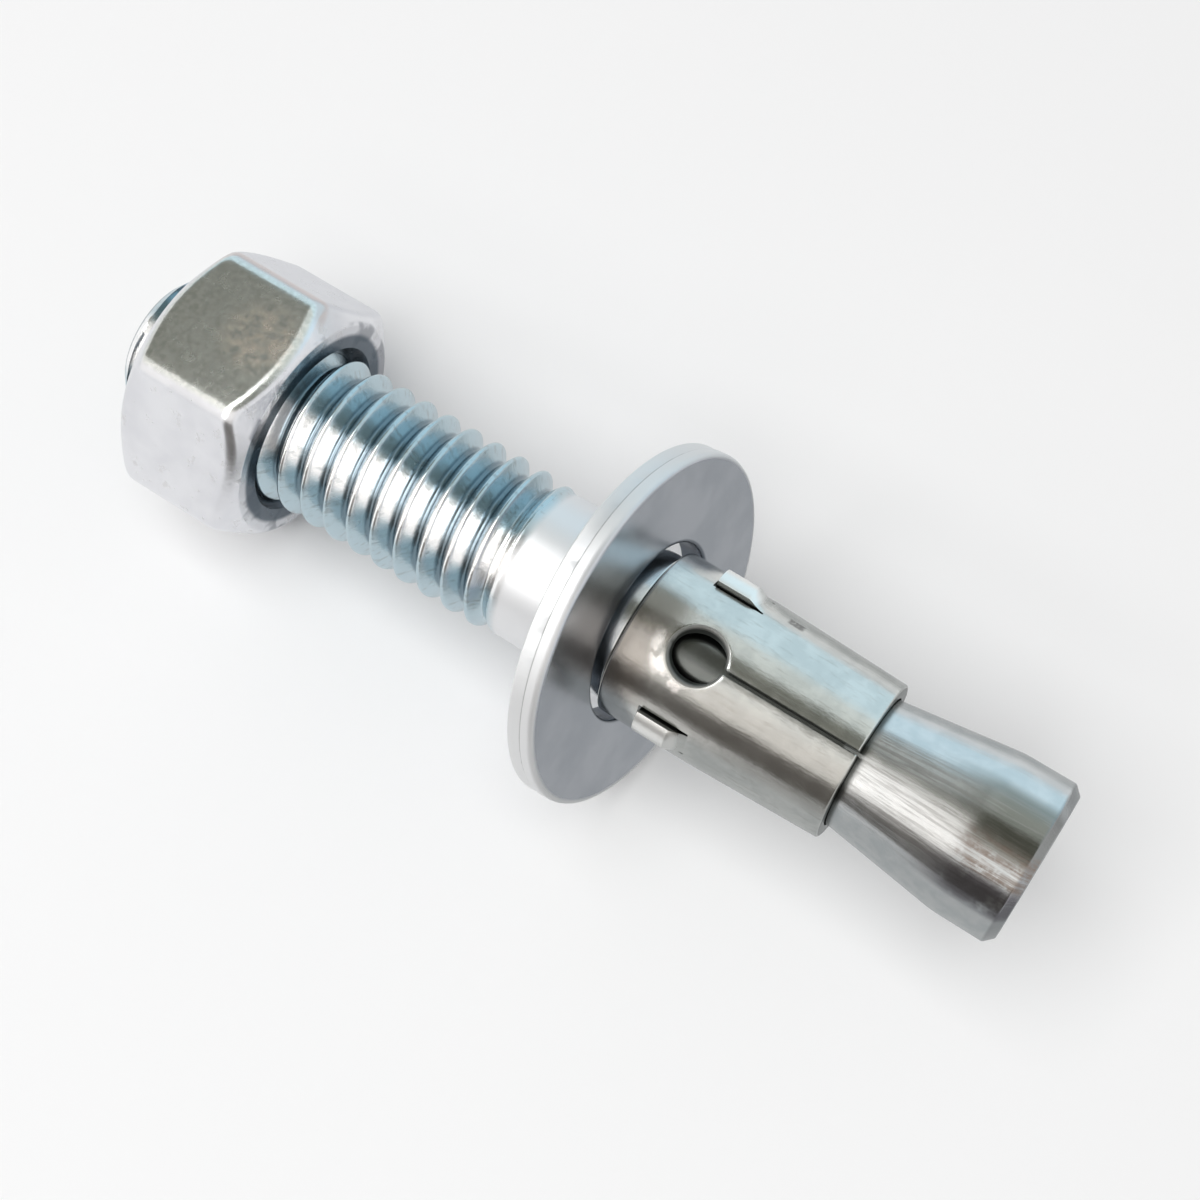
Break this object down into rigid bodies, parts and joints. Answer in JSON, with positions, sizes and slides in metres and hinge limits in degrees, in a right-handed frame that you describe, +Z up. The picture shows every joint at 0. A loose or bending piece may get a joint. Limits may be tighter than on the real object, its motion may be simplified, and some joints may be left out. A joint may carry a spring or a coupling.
{
  "type": "wedge anchor",
  "caption": "Zinc-plated expansion bolt for masonry: threaded stud with a coned end, split sheet clip with raised nubs, loose flat washer and hexagon nut.",
  "frame": {"origin": "centre of the end face at the threaded tip, where a hammer sets the anchor", "axes": "+X along the stud's axis towards the cone end; +Z up, square to the flat that the nut lies on"},
  "size_m": [0.0571, 0.0208, 0.0207],
  "materials": {
    "stud_zinc": "bright zinc plate over rolled threads and a drawn cone",
    "clip_zinc": "bright zinc plate over rolled sheet, with punched edges",
    "washer_zinc": "smooth bright zinc plate over a stamped blank",
    "nut_zinc": "satin zinc plate over cold-formed flats"
  },
  "bodies": {
    "clip": {"expansion_clip": "clip_zinc"},
    "stud": {"anchor_stud": "stud_zinc"},
    "nut": {"hex_nut": "nut_zinc"},
    "washer": {"washer": "washer_zinc"}
  },
  "joints": [
    {"name": "stud_turn", "type": "hinge", "parent": "clip", "child": "stud", "pos_m": [0, 0, 0], "axis": [-1, 0, 0], "range_deg": [-520, 3240]},
    {"name": "nut_run", "type": "slide", "parent": "clip", "child": "nut", "axis": [1, 0, 0], "range_m": [-0.0023, 0.0143]},
    {"name": "washer_slide", "type": "slide", "parent": "clip", "child": "washer", "axis": [-1, 0, 0], "range_m": [-0.001, 0.0052]}
  ],
  "couplings": [
    {"joint": "nut_run", "follows": "stud_turn", "m_per_rad": 0.00025266}
  ]
}
